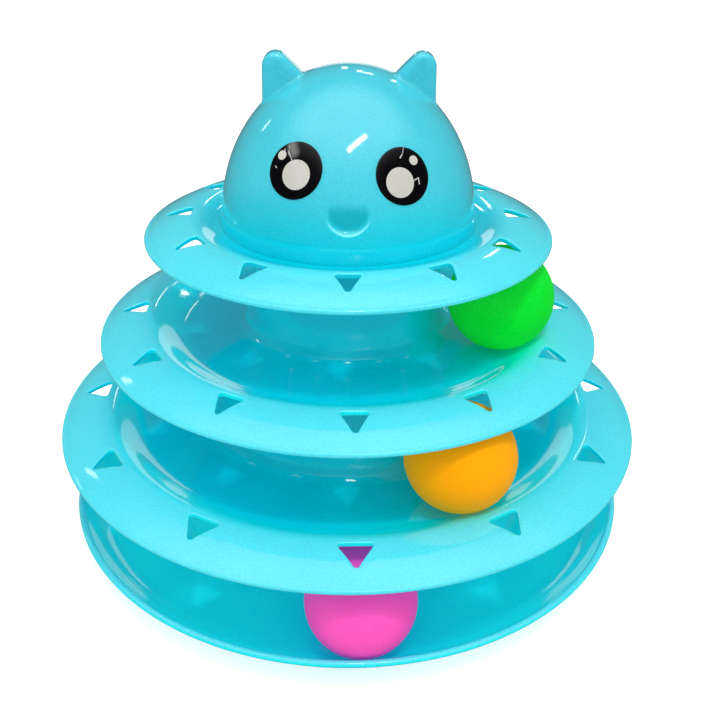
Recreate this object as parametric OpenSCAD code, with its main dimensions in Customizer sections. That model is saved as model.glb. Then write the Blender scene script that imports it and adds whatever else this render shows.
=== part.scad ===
// Cat ball track toy: three stacked ring tracks, a ball in each, and a cat's head on top.
// Millimetres. The toy stands on Z = 0, its axis is Z, and the cat looks along -Y.

/* [Balls] */
// Diameter of each ball
ball_d = 42; // [38:0.5:46]
// Wall of each hollow ball
ball_wall = 1.2; // [0.8:0.1:2]
// Bearing of the pink ball in the base, from the front towards +X
pink_az = 3.1; // [-180:0.1:180]
// Bearing of the orange ball in the lower tray
orange_az = 29.2; // [-180:0.1:180]
// Bearing of the green ball in the upper tray
green_az = 70; // [-180:0.1:180]

/* [Trays] */
// Wall of every moulded piece
wall = 2; // [1.6:0.1:2.6]
// Radius of the base tray over its lip
base_r = 123; // [118:0.5:130]
// Radius of the lower tray over its rim
lower_r = 125; // [118:0.5:132]
// Radius of the upper tray over its rim
upper_r = 104.1; // [100:0.1:110]
// Radius of the top disc over its rim
top_r = 82.3; // [78:0.1:88]
// Height of the base tray's lip above its channel floor
lip_h = 12.3; // [10:0.1:16]
// Slope of the base channel's outer wall where it meets the lip
lip_lean = 54; // [45:1:75]
// Height of a flange's crest above its channel floor
crest_rise = 7; // [5:0.1:9]
// Height of the top disc's crest above its plate
top_crest_rise = 2.5; // [1.5:0.1:4]
// Width of a flange from its crest to its rim
flange_w = 19; // [16:0.5:22]
// Drop of a flange from its crest to the middle of its rim
flange_drop = 6.3; // [4:0.1:8]
// Radius of the rolled rim of a flange, and of the base tray's lip
rim_bead_r = 1.3; // [1.1:0.1:1.8]
// From a tray's rim in to the middle of its ball track
track_inset = 39; // [37:0.5:42]
// Flat floor outside the middle of a ball track
floor_out_w = 3; // [1:0.5:5]
// Blend between a channel floor and its hub
hub_fillet = 8; // [5:0.5:10]
// Inward lean of a hub from its channel floor to its shoulder
hub_lean = 6; // [3:0.5:8]

/* [Cut-outs] */
// Number of triangular cut-outs in a flange
hole_n = 12; // [8:1:16]
// Length of a cut-out from its base to its tip
hole_l = 10.2; // [8:0.1:12]
// Width of a cut-out's base in the lower tray
lower_hole_w = 12.4; // [9:0.1:14]
// Width of a cut-out's base in the upper tray
upper_hole_w = 10; // [7:0.1:12]
// Width of a cut-out's base in the top disc
top_hole_w = 9.2; // [7:0.1:11]
// Corner radius of a cut-out
hole_corner_r = 1.2; // [0.6:0.1:1.8]
// From the crest out to a cut-out's base
hole_inset = 0.6; // [0:0.1:2]
// Turn of the cut-outs in the two trays
hole_turn = 1.7; // [-15:0.1:15]

/* [Cat head] */
// Radius of the dome at its widest
dome_r = 51; // [46:0.5:54]
// Height of the dome above its widest ring
dome_h = 58.7; // [50:0.1:64]
// Height of the dome's widest ring above the plate
dome_up = 1.9; // [0:0.1:4]
// Height of the straight ledge at the dome's foot
ledge_h = 5.6; // [4:0.1:8]
// How far the ledge stands out from the dome
ledge_out = 1; // [0.5:0.1:1.5]
// Outer face of an ear from the middle of the head
ear_out_x = 33.5; // [30:0.5:38]
// Where an ear's inner slope meets the dome
ear_in_x = 18.6; // [15:0.1:22]
// Height of an ear's tip above the top of the dome
ear_rise = 4.7; // [4:0.1:12]
// Radius of an ear's tip
ear_tip_r = 5; // [4:0.1:6]
// Thickness of an ear from front to back
ear_t = 10; // [8:0.5:14]
// Radius of the round mouth
mouth_r = 7.6; // [6:0.1:10]
// Height of the mouth's lowest point above the plate
mouth_up = 10.9; // [9:0.1:14]
// Depth of the mouth at its lower edge
mouth_depth = 2.5; // [1:0.1:3]
// Radius of an eye sticker
eye_r = 10.3; // [8:0.1:11]
// Thickness of an eye sticker
eye_t = 0.3; // [0.2:0.05:0.6]
// Thickness of the white print on a sticker
print_t = 0.1; // [0.05:0.05:0.2]
// Radius of the large white spot
spot_r = 5.35; // [4:0.05:6]
// Radius of the small white spot
glint_r = 1.9; // [1:0.1:2.5]
// Bearing of an eye from the front
eye_az = 25.6; // [20:0.1:30]
// Height of the left eye above the plate
left_eye_up = 31.5; // [26:0.1:35]
// Height of the right eye above the plate
right_eye_up = 29.9; // [26:0.1:35]

/* [Fits] */
// Free height between a ball and the flat floor above it
head_gap = 2.2; // [1:0.1:4]
// Least free height between a ball and a curved flange above it
nest_gap = 1.75; // [1:0.05:4]
// Free width between a ball and its hub
hub_gap = 2.5; // [1:0.1:4]
// Free width between the pink ball and the base's lip
lip_gap = 0.5; // [0.3:0.1:2]
// Gap under a resting ball
ball_fit = 0.3; // [0.1:0.05:0.5]
// Gap round a spigot, a key or a snap tab
slip_fit = 0.3; // [0.2:0.05:0.6]
// Gap between a tray and the shoulder under it
seat_fit = 0.1; // [0.05:0.05:0.3]
// Least width of a shoulder under the flat of the tray that stands on it
seat_w = 2; // [1:0.5:4]
// Height of the spigot on each hub
spigot_h = 12; // [9:0.5:16]
// Number of keys that stop a tray from turning
key_n = 4; // [2:1:6]
// Width of a key
key_w = 8; // [5:0.5:12]
// Height of a key in a tray
key_h = 4; // [2:0.5:6]
// Radius of the spigot that holds the top disc
top_spigot_r = 28; // [22:0.5:30]
// Number of snap tabs under the cat head
tab_n = 4; // [3:1:6]
// Width of a snap tab
tab_w = 9; // [6:0.5:12]
// Catch of a snap tab under the plate
tab_catch = 1.2; // [0.8:0.1:1.6]
// Height of a tab's root above the plate
tab_root_h = 8; // [6:0.5:10]
// Thickness of a tab's catch
tab_catch_h = 1.6; // [1.2:0.1:2.4]

/* [Feet] */
// Number of anti-slip pads
pad_n = 4; // [3:1:6]
// Radius of a pad
pad_r = 7; // [5:0.5:8]
// Height of a pad
pad_h = 2.7; // [2:0.1:4]

/* [Hidden] */
$fn = 96;
curve_n = 8;
dome_n = 26;
over = 1;
right_angle = 90;
full_turn = 360;
cyan = [0.35, 0.85, 0.91];
pink = [0.97, 0.38, 0.72];
orange = [0.97, 0.62, 0.04];
green = [0.1, 0.8, 0.2];
sticker_black = [0.05, 0.05, 0.05];
print_white = [0.9, 0.89, 0.85];
pad_grey = [0.25, 0.25, 0.26];

ball_r = ball_d / 2;
base_track_r = base_r - 2 * rim_bead_r - lip_gap - ball_r * sin(acos((ball_r - lip_h) / ball_r));
lower_track_r = lower_r - track_inset;
upper_track_r = upper_r - track_inset;

// Points of a curve from a to b that is drawn towards c
function bend(a, c, b) = [for (i = [0:curve_n]) let (t = i / curve_n)
    (1 - t) * (1 - t) * a + 2 * t * (1 - t) * c + t * t * b];
function ease(t) = t * t * (3 - 2 * t);
function flipped(list) = [for (i = [len(list) - 1:-1:0]) list[i]];

// Radius of each hub's foot: clear of its ball, and over the shoulder that it stands on
base_foot_r = base_track_r - ball_r - hub_gap;
lower_foot_r = foot_over(base_foot_r, lower_track_r);
upper_foot_r = foot_over(lower_foot_r, upper_track_r);
function foot_over(below_r, track_r) =
    min(track_r - ball_r - hub_gap, below_r - hub_lean - seat_w - hub_fillet + wall);
function hub_r_at(foot_r, floor_z, seat_z, z) =
    foot_r - hub_lean * (z - floor_z) / (seat_z - floor_z);

// Upper surface of a channel's floor and flange, from the hub's blend out to the rim
function flange_top(track_r, edge_r, floor_z) = concat([[track_r, floor_z]],
    [for (i = [0:curve_n]) let (t = i / curve_n, start_r = track_r + floor_out_w)
        [start_r + (edge_r - flange_w - start_r) * t, floor_z + crest_rise * ease(t)]],
    flange_fall(edge_r - flange_w, edge_r, floor_z + crest_rise));
function flange_fall(crest_r, edge_r, crest_z) = [for (i = [1:curve_n]) let (t = i / curve_n)
    [crest_r + (edge_r - bead_w - crest_r) * t, crest_z - (flange_drop - wall / 2) * t * t]];

// Round edge of a wall, from one of its faces over to the other
bead_reach = sqrt(pow(rim_bead_r, 2) - pow(wall / 2, 2));
bead_w = rim_bead_r + bead_reach;
bead_half = right_angle + atan2(bead_reach, wall / 2);
function bead(c, middle_a) = [for (i = [1:curve_n - 1])
    let (a = middle_a + bead_half * (1 - 2 * i / curve_n)) c + rim_bead_r * [cos(a), sin(a)]];
function rim(edge_r, crest_z) = bead([edge_r - rim_bead_r, crest_z - flange_drop], 0);

// Height of a ball's centre that rests in a channel
function ball_seat(surface, track_r) = ball_fit + max([for (p = surface)
    if (abs(p[0] - track_r) < ball_r) p[1] + sqrt(pow(ball_r, 2) - pow(p[0] - track_r, 2))]);

// Height of a floor over the centre of the ball below it, so that its whole underside clears
// the ball. The surface is given with its floor at zero.
function floor_over(surface, edge_r, track_r) = nest_gap + wall + max([
    for (i = [1 - curve_n:curve_n - 1]) let (across = ball_r * i / curve_n)
        if (track_r + across < edge_r)
            sqrt(pow(ball_r, 2) - pow(across, 2)) - lookup(track_r + across, surface)]);

// Base channel: its floor, its wall and its lip
base_floor_z = pad_h + wall;
lip_z = base_floor_z + lip_h - rim_bead_r;
base_floor_end_r = base_track_r + floor_out_w;
lip_c = [base_r - rim_bead_r, lip_z];
// Where a face of the outer wall meets the lip's bead, and where its line meets a level
function lip_foot(side) = lip_c - bead_reach * [cos(lip_lean), sin(lip_lean)]
    + side * wall / 2 * [-sin(lip_lean), cos(lip_lean)];
function lip_turn(side, z) = [lip_foot(side)[0] - (lip_foot(side)[1] - z) / tan(lip_lean), z];
base_top = concat([[base_track_r, base_floor_z]],
    bend([base_floor_end_r, base_floor_z], lip_turn(1, base_floor_z), lip_foot(1)));
pink_z = ball_seat(base_top, base_track_r);
lower_floor_z = pink_z + ball_r + head_gap + wall;
lower_top = flange_top(lower_track_r, lower_r, lower_floor_z);
orange_z = ball_seat(lower_top, lower_track_r);
upper_floor_z = orange_z
    + floor_over(flange_top(upper_track_r, upper_r, 0), upper_r, lower_track_r);
upper_top = flange_top(upper_track_r, upper_r, upper_floor_z);
green_z = ball_seat(upper_top, upper_track_r);

// The disc's plate holds the head's ledge inside its flange
ledge_r = dome_r + ledge_out;
seat_groove_r = ledge_r + ledge_out;
disc_crest_r = max(top_r - flange_w, seat_groove_r + wall);
plate_spigot_r = min(top_spigot_r, upper_foot_r - hub_lean - seat_w);
plate_hole_r = plate_spigot_r + slip_fit;
function disc_top(floor_z) = concat([[plate_hole_r, floor_z]],
    [for (i = [0:curve_n]) let (t = i / curve_n)
        [seat_groove_r + (disc_crest_r - seat_groove_r) * t, floor_z + top_crest_rise * ease(t)]],
    flange_fall(disc_crest_r, top_r, floor_z + top_crest_rise));
plate_z = green_z + max(ball_r + head_gap + wall, floor_over(disc_top(0), top_r, upper_track_r));

// Each tray stands on the shoulder of the hub below it
base_seat_z = lower_floor_z - wall - seat_fit;
lower_seat_z = upper_floor_z - wall - seat_fit;
upper_seat_z = plate_z - wall - seat_fit;
base_spigot_r = hub_r_at(lower_foot_r, lower_floor_z, lower_seat_z, base_seat_z + spigot_h)
    - wall - slip_fit;
lower_spigot_r = hub_r_at(upper_foot_r, upper_floor_z, upper_seat_z, lower_seat_z + spigot_h)
    - wall - slip_fit;

// Cat head
dome_z = plate_z + dome_up;
dome_top_z = dome_z + dome_h;
tab_r = dome_r - wall - tab_catch;
tab_slot_w = tab_w + 2 * slip_fit;
ear_base_z = dome_z + wall;

// Places of the white prints as shares of the sticker: outward from the nose and up the dome
left_spot_share = [-0.09, -0.15];
right_spot_share = [-0.17, -0.21];
left_glint_share = [0.6, 0.45];
right_glint_share = [0.49, 0.48];

// Reach of a cut-out's straight sides, as a share of its corner radius
side_share = 0.98;

// Cone wall, blend and hollow of a hub, from the spigot to the channel floor
function hub_top(foot_r, floor_z, seat_z, spigot_r) = concat(
    [[0, seat_z], [spigot_r - wall, seat_z], [spigot_r - wall, seat_z + spigot_h],
     [spigot_r, seat_z + spigot_h], [spigot_r, seat_z], [foot_r - hub_lean, seat_z]],
    bend([hub_r_at(foot_r, floor_z, seat_z, floor_z + hub_fillet), floor_z + hub_fillet],
         [foot_r, floor_z], [foot_r + hub_fillet, floor_z]));
function hub_under(foot_r, floor_z, seat_z) = concat(
    flipped(bend([hub_r_at(foot_r, floor_z, seat_z, floor_z + hub_fillet - wall) - wall,
                  floor_z + hub_fillet - wall],
                 [foot_r - wall, floor_z - wall],
                 [foot_r + hub_fillet - wall, floor_z - wall])),
    [[foot_r - hub_lean - wall, seat_z - wall], [0, seat_z - wall]]);
function lowered(points) = [for (p = points) p - [0, wall]];

// Notches round a spigot, for the keys of the piece above
module key_notches(spigot_r, seat_z) {
    for (k = [0:key_n - 1])
        rotate((k + 1 / 2) * full_turn / key_n)
            translate([spigot_r - wall - over, -key_w / 2 - slip_fit, seat_z])
                cube([wall + 2 * over, key_w + 2 * slip_fit, spigot_h + over]);
}

// Keys that reach from a hollow's wall into the notches of the spigot inside it
module keys(spigot_r, reach_r, bottom_z, height) {
    for (k = [0:key_n - 1])
        rotate((k + 1 / 2) * full_turn / key_n)
            translate([spigot_r - wall, -key_w / 2, bottom_z])
                cube([reach_r - spigot_r + wall, key_w, height]);
}

// One rounded triangle, its base at x = 0 and its tip at x = length. Its sides cross the
// corner rounds just inside their tangents, so each junction is a clear one.
module hole_outline(length, width) {
    base_c = [hole_corner_r, width / 2 - hole_corner_r];
    tip_c = [length - hole_corner_r, 0];
    reach = hole_corner_r * side_share;
    side = tip_c - base_c;
    out = [-side[1], side[0]] * reach / norm(side);
    polygon([[base_c[0] - reach, -base_c[1]], [base_c[0] - reach, base_c[1]],
             base_c + out, tip_c + out,
             [tip_c[0] + out[0], -out[1]], [base_c[0] + out[0], -base_c[1] - out[1]]]);
    for (c = [base_c, [base_c[0], -base_c[1]], tip_c])
        translate(c) circle(r = hole_corner_r);
}

// The ring of cut-outs in a flange, kept off its rim
module flange_holes(crest_r, edge_r, crest_z, width, turn) {
    length = min(hole_l, edge_r - crest_r - hole_inset - bead_w - wall);
    for (k = [0:hole_n - 1])
        rotate(turn - right_angle + k * full_turn / hole_n)
            translate([crest_r + hole_inset, 0, crest_z - flange_drop - wall - over])
                linear_extrude(flange_drop + wall + 2 * over)
                    hole_outline(length, width);
}

// A spun outline, turned so that it starts between two cut-outs
module spun(turn) {
    rotate(turn - right_angle + full_turn / hole_n / 2) rotate_extrude() children();
}

// A tray: hub, channel and flange in one moulding
module tray(foot_r, edge_r, floor_z, seat_z, spigot_r, surface, key_spigot_r, hole_w) {
    crest_z = floor_z + crest_rise;
    key_z = floor_z - wall + spigot_h - key_h;
    difference() {
        union() {
            spun(hole_turn)
                polygon(concat(hub_top(foot_r, floor_z, seat_z, spigot_r), surface,
                    rim(edge_r, crest_z), flipped(lowered(surface)),
                    hub_under(foot_r, floor_z, seat_z)));
            keys(key_spigot_r, hub_r_at(foot_r, floor_z, seat_z, key_z) - wall / 2, key_z, key_h);
        }
        key_notches(spigot_r, seat_z);
        flange_holes(edge_r - flange_w, edge_r, crest_z, hole_w, hole_turn);
    }
}

module base_tray() {
    bowl_under = bend(lip_foot(-1), lip_turn(-1, pad_h), [base_floor_end_r, pad_h]);
    color(cyan) difference() {
        rotate_extrude()
            polygon(concat(hub_top(base_foot_r, base_floor_z, base_seat_z, base_spigot_r),
                base_top, bead(lip_c, lip_lean), bowl_under,
                hub_under(base_foot_r, base_floor_z, base_seat_z)));
        key_notches(base_spigot_r, base_seat_z);
    }
}

module lower_tray() {
    color(cyan) tray(lower_foot_r, lower_r, lower_floor_z, lower_seat_z, lower_spigot_r,
                     lower_top, base_spigot_r, lower_hole_w);
}

module upper_tray() {
    color(cyan) tray(upper_foot_r, upper_r, upper_floor_z, upper_seat_z, plate_spigot_r,
                     upper_top, lower_spigot_r, upper_hole_w);
}

// Plate and flange over the upper track, with slots for the cat head's tabs
module top_disc() {
    crest_z = plate_z + top_crest_rise;
    surface = disc_top(plate_z);
    color(cyan) difference() {
        union() {
            spun(0)
                polygon(concat(surface, rim(top_r, crest_z), flipped(lowered(surface))));
            keys(plate_spigot_r, plate_hole_r + wall, plate_z - wall + slip_fit,
                 wall - 2 * slip_fit);
        }
        flange_holes(disc_crest_r, top_r, crest_z, top_hole_w, 0);
        for (k = [0:tab_n - 1])
            rotate((k + 1 / 2) * full_turn / tab_n)
                translate([tab_r - wall - slip_fit, -tab_slot_w / 2, plate_z - wall - over])
                    cube([wall + 2 * slip_fit, tab_slot_w, wall + 2 * over]);
    }
}

// Upright section of the dome, grown outward by a small amount
function dome_arc(grow) = [for (i = [0:dome_n]) let (t = right_angle * i / dome_n)
    [(dome_r + grow) * cos(t), dome_z + (dome_h + grow) * sin(t)]];

module dome_solid(grow, foot_r) {
    rotate_extrude()
        polygon(concat([[0, plate_z + min(grow, 0)], [foot_r, plate_z + min(grow, 0)]],
            [[foot_r, plate_z + ledge_h + grow]],
            [for (p = dome_arc(grow)) if (p[1] > plate_z + ledge_h + grow) p]));
}

// Upright outline of the ear on +X, drawn in by an inset
module ear_outline(inset) {
    tip = [ear_out_x - ear_tip_r, dome_top_z + ear_rise - ear_tip_r];
    foot = [ear_in_x, dome_z + dome_h * sqrt(1 - pow(ear_in_x / dome_r, 2))];
    span = norm(tip - foot);
    slope = atan2(tip[1] - foot[1], tip[0] - foot[0]) + asin(ear_tip_r / span);
    out = [-sin(slope), cos(slope)];
    low = foot - [cos(slope), sin(slope)] * 3 * wall;
    translate(tip) circle(r = ear_tip_r - inset);
    polygon([[ear_out_x - inset, ear_base_z], [ear_out_x - inset, tip[1]], tip,
             tip + out * (ear_tip_r - inset), low - out * inset, [low[0], ear_base_z]]);
}

module ears(inset) {
    for (side = [0, 1])
        mirror([side, 0, 0])
            translate([0, ear_t / 2 - inset, 0]) rotate([right_angle, 0, 0])
                linear_extrude(ear_t - 2 * inset) ear_outline(inset);
}

// The mouth: a round pocket with an upright back, grown by a small amount
module mouth_pocket(grow) {
    low_z = plate_z + mouth_up;
    back_y = dome_r * sqrt(1 - pow((low_z - dome_z) / dome_h, 2)) - mouth_depth;
    translate([0, -back_y + grow, low_z + mouth_r]) rotate([right_angle, 0, 0])
        linear_extrude(dome_r) circle(r = mouth_r + grow);
}

// Snap tabs that pass through the plate and catch under it
module snap_tabs() {
    for (k = [0:tab_n - 1])
        rotate((k + 1 / 2) * full_turn / tab_n) translate([tab_r - wall, -tab_w / 2, 0]) {
            translate([0, 0, plate_z - wall - slip_fit - tab_catch_h])
                cube([wall, tab_w, wall + slip_fit + tab_catch_h + tab_root_h]);
            translate([0, 0, plate_z - wall - slip_fit - tab_catch_h])
                cube([wall + tab_catch, tab_w, tab_catch_h]);
            translate([0, 0, plate_z + tab_root_h / 2])
                cube([wall + tab_catch + wall / 3, tab_w, tab_root_h / 2]);
        }
}

module cat_head() {
    color(cyan) union() {
        difference() {
            union() {
                dome_solid(0, ledge_r);
                ears(0);
            }
            difference() {
                union() {
                    dome_solid(-wall, dome_r - wall);
                    ears(wall);
                }
                mouth_pocket(wall / 2);
            }
            mouth_pocket(0);
        }
        snap_tabs();
    }
}

// A round patch of a thin layer over the dome, at a bearing and a height over the plate,
// moved along the surface by shift: outward from the nose and up
module dome_patch(az, up, shift, radius, from_t, to_t) {
    z = plate_z + up;
    r = dome_r * sqrt(1 - pow((z - dome_z) / dome_h, 2));
    lift = atan2((z - dome_z) / pow(dome_h, 2), r / pow(dome_r, 2));
    side = sign(az);
    intersection() {
        rotate_extrude()
            polygon(concat(dome_arc(from_t), flipped(dome_arc(to_t))));
        rotate(az - right_angle) translate([r, 0, z]) rotate([0, right_angle - lift, 0])
            translate([-shift[1], side * shift[0], -eye_r])
                cylinder(r = radius, h = 2 * eye_r);
    }
}

module eye_print(az, up, spot, glint) {
    color(print_white) {
        dome_patch(az, up, spot * eye_r, spot_r, eye_t, eye_t + print_t);
        dome_patch(az, up, glint * eye_r, glint_r, eye_t, eye_t + print_t);
    }
}

module left_eye_sticker() {
    color(sticker_black) dome_patch(-eye_az, left_eye_up, [0, 0], eye_r, 0, eye_t);
}

module right_eye_sticker() {
    color(sticker_black) dome_patch(eye_az, right_eye_up, [0, 0], eye_r, 0, eye_t);
}

module left_eye_print() {
    eye_print(-eye_az, left_eye_up, left_spot_share, left_glint_share);
}

module right_eye_print() {
    eye_print(eye_az, right_eye_up, right_spot_share, right_glint_share);
}

// A hollow ball on its track, at a bearing from the front
module ball(track_r, z, az) {
    rotate(az) translate([0, -track_r, z]) difference() {
        sphere(r = ball_r);
        sphere(r = ball_r - ball_wall);
    }
}

module pink_ball() {
    color(pink) ball(base_track_r, pink_z, pink_az);
}

module orange_ball() {
    color(orange) ball(lower_track_r, orange_z, orange_az);
}

module green_ball() {
    color(green) ball(upper_track_r, green_z, green_az);
}

// Pads under the flat of the base channel
module anti_slip_pads() {
    color(pad_grey)
        for (k = [0:pad_n - 1])
            rotate((k + 1 / 2) * full_turn / pad_n)
                translate([(base_foot_r + hub_fillet + base_floor_end_r) / 2, 0, 0])
                    cylinder(r = pad_r, h = pad_h);
}

base_tray();
lower_tray();
upper_tray();
top_disc();
cat_head();
left_eye_sticker();
right_eye_sticker();
left_eye_print();
right_eye_print();
pink_ball();
orange_ball();
green_ball();
anti_slip_pads();
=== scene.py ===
# Cat ball track toy: three stacked ring tracks, a ball in each, and a cat's head on top.
import math

import bmesh
import bpy
import numpy as np
from mathutils import Matrix, Vector


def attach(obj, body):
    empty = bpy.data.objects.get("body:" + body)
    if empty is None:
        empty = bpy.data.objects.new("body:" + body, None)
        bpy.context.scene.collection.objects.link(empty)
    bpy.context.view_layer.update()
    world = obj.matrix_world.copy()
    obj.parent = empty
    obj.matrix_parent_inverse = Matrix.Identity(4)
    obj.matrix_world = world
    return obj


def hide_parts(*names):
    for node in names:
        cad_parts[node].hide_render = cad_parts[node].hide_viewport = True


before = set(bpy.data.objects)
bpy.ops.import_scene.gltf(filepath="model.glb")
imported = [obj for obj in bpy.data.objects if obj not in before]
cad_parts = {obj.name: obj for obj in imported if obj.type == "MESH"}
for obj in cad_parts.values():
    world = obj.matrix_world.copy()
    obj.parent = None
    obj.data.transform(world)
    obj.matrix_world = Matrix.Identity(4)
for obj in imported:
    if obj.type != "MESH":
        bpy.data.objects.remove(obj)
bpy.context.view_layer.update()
print("frame loaded")

mm = 0.001
scene = bpy.context.scene
up = Vector((0, 0, 1))
# nearly all of a noise's values lie between these
noiseSpan = (0.3, 0.7)


# Shader maths: a wire holds an output socket, and sums on it add Math nodes
class Wire:
    def __init__(self, finish, socket):
        self.finish = finish
        self.socket = socket

    def sum(self, operation, first, second):
        return self.finish.add("Math", {"operation": operation}, {0: first, 1: second})

    def __add__(self, other):
        return self.sum("ADD", self, other)

    def __sub__(self, other):
        return self.sum("SUBTRACT", self, other)

    def __rsub__(self, other):
        return self.sum("SUBTRACT", other, self)

    def __mul__(self, other):
        return self.sum("MULTIPLY", self, other)

    def greater(self, other):
        return self.sum("MAXIMUM", self, other)

    __radd__ = __add__
    __rmul__ = __mul__


class Nodes:
    def __init__(self, tree):
        self.tree = tree

    # one node: its settings come first, then the values or wires of its sockets
    def add(self, kind, settings=None, inputs=None, out=0):
        node = self.tree.nodes.new("ShaderNode" + kind)
        for key, value in (settings or {}).items():
            setattr(node, key, value)
        for key, value in (inputs or {}).items():
            self.feed(node.inputs[key], value)
        return Wire(self, node.outputs[out])

    def feed(self, socket, value):
        if isinstance(value, Wire):
            self.tree.links.new(value.socket, socket)
        else:
            socket.default_value = value

    def vector(self, operation, first, second, out=0):
        return self.add("VectorMath", {"operation": operation}, {0: first, 1: second}, out)

    def scaled(self, vector, share):
        return self.add("VectorMath", {"operation": "SCALE"}, {0: vector, "Scale": share})

    def axis(self, vector, letter):
        return self.add("SeparateXYZ", {}, {0: vector}, letter)

    # length of a vector after each of its axes is scaled
    def reach(self, vector, scale=(1, 1, 1)):
        return self.vector("LENGTH", self.vector("MULTIPLY", vector, scale), (0, 0, 0), "Value")

    def noise(self, place, scale, detail=2.0, rough=0.5):
        return self.add("TexNoise", {}, {"Vector": place, "Scale": scale, "Detail": detail,
                                         "Roughness": rough}, out="Fac")

    def between(self, value, low, high, toLow=0.0, toHigh=1.0):
        return self.add("MapRange", {"interpolation_type": "SMOOTHSTEP"},
                        {"Value": value, "From Min": low, "From Max": high,
                         "To Min": toLow, "To Max": toHigh})

    # a noise spread over the whole way from one value to another
    def spread(self, noise, toLow=0.0, toHigh=1.0):
        return self.between(noise, *noiseSpan, toLow, toHigh)

    def mix(self, share, first, second):
        return self.add("Mix", {"data_type": "RGBA"}, {"Factor": share, 6: first, 7: second}, out=2)

    def tinted(self, colour, shade):
        return self.add("Mix", {"data_type": "RGBA", "blend_type": "MULTIPLY"},
                        {"Factor": 1.0, 6: colour, 7: shade}, out=2)

    def bump(self, height, strength, distance, normal=None):
        inputs = {"Height": height, "Strength": strength, "Distance": distance}
        if normal is not None:
            inputs["Normal"] = normal
        return self.add("Bump", {}, inputs)

    # distance from the line between two points that are given in millimetres
    def fromLine(self, place, start, end):
        start, run = Vector(start) * mm, (Vector(end) - Vector(start)) * mm
        offset = self.vector("SUBTRACT", place, start)
        share = self.vector("DOT_PRODUCT", offset, run / run.length_squared, "Value")
        nearest = self.scaled(run, self.add("Clamp", {}, {"Value": share}))
        return self.reach(self.vector("SUBTRACT", offset, nearest))


class Finish(Nodes):
    def __init__(self, name):
        self.material = bpy.data.materials.new(name)
        self.material.use_nodes = True
        super().__init__(self.material.node_tree)
        self.shader = self.tree.nodes["Principled BSDF"]

    def set(self, **values):
        for key, value in values.items():
            self.feed(self.shader.inputs[key.replace("_", " ")], value)

    def place(self):
        return self.add("TexCoord", out="Object")


# Moulded plastic: a faint cloudiness, fine flecks, a moulded skin, a few dull patches and a painted glow
def mouldedPlastic(name, look):
    finish = Finish(name)
    place = finish.place()
    cloud = finish.spread(finish.noise(place, look["cloudScale"], detail=3))
    colour = finish.mix(cloud, (*look["colour"], 1), (*look["cloud"], 1))
    if "paintedLit" in look:
        colour = paintedLightByPlace(finish, place, look, colour, cloud)
    fleck = finish.noise(place, look["fleckScale"])
    colour = finish.tinted(colour, finish.spread(fleck, 1 - look["fleck"], 1 + look["fleck"]))
    dull = finish.noise(place, look["dullScale"], detail=4, rough=0.6)
    shine = finish.between(dull, *look["dullSpan"], look["roughness"], look["dullRoughness"])
    grain = finish.noise(place, look["grainScale"])
    skin = finish.bump(grain, look["grainStrength"], look["grainDepth"] * mm)
    wave = finish.noise(place, look["waveScale"], detail=1)
    surface = finish.bump(wave, look["waveStrength"], look["waveDepth"] * mm, skin)
    # Emission is a painted glow: painted light that lifts the shaded parts, though the plastic is no lamp
    finish.set(Base_Color=colour, Roughness=shine, Normal=surface, IOR=look["ior"],
               Coat_Weight=look["coat"], Coat_Roughness=look["coatRoughness"],
               Subsurface_Weight=look["through"], Subsurface_Radius=look["throughReach"],
               Subsurface_Scale=mm, Emission_Color=colour, Emission_Strength=look["paintedGlow"])
    return finish.material


# Painted light and shade: paler where light reaches the flanges and lip all round, brighter on the climbs
# and in the base bowl, darker on the head's dome, and the mouth's painted shade and highlight
def paintedLightByPlace(finish, place, look, colour, cloud):
    where = {name: [value * mm for value in pair] for name, pair in look["where"].items()}
    r, z = finish.reach(place, (1, 1, 0)), finish.axis(place, "Z")
    facing = finish.axis(finish.add("NewGeometry", out="Normal"), "Z")
    upward = finish.between(facing, *look["facing"])
    across = r + z * look["slope"]
    rim = finish.between(across, *where["rim"])
    flange = finish.between(across, *where["crest"]) * upward.greater(rim)
    lip = finish.between(r, *where["lip"]) * finish.between(z, *where["lipHeight"]) * upward
    head = finish.between(z, *where["head"]) * finish.between(r, *where["dome"])
    # painted light: the climbs up to the crests are painted brighter
    climbLight = (finish.between(across, *where["climbLight"]) * finish.between(across, *where["climbEnd"])
             * finish.between(z, *where["trays"]))
    colour = finish.mix(climbLight, colour, (*look["climbLight"], 1))
    # painted light: the base bowl is painted brighter
    colour = finish.mix(finish.between(z, *where["bowl"]), colour, (*look["bowl"], 1))
    # painted light: the upward-facing flanges and lip are painted paler
    paintedLit = finish.mix(cloud, (*look["paintedLit"], 1), (*look["paintedLitCloud"], 1))
    colour = finish.mix(flange + lip, colour, paintedLit)
    # painted shade: the head's dome is painted a darker tone than the lit flanges
    dome = finish.mix(cloud, (*look["head"], 1), (*look["shadedHeadCloud"], 1))
    colour = finish.mix(head, colour, dome)
    return mouthShadeAndHighlight(finish, place, look, where, colour)


# The mouth: painted shade in the pocket and a painted highlight along its lower edge
def mouthShadeAndHighlight(finish, place, look, where, colour):
    middle = finish.vector("SUBTRACT", place, Vector((0, 0, look["mouth"])) * mm)
    out, level = finish.reach(middle, (1, 0, 1)), finish.axis(middle, "Z")
    front = finish.between(finish.axis(place, "Y"), *where["front"])
    # painted shade deep in the pocket
    pocketShade = finish.between(out, *where["mouthIn"]) * finish.between(level, *where["mouthTop"])
    # painted highlight along the pocket's lower edge
    off = out - look["mouthEdge"] * mm
    edge = finish.between(off, *where["edgeIn"]) * finish.between(off, *where["edgeOut"])
    edge = edge * finish.between(level, *where["edgeTop"]) * front
    colour = finish.mix(pocketShade * front, colour, (*look["shade"], 1))
    return finish.mix(edge * look["highlightShare"], colour, (*look["edge"], 1))


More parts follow.
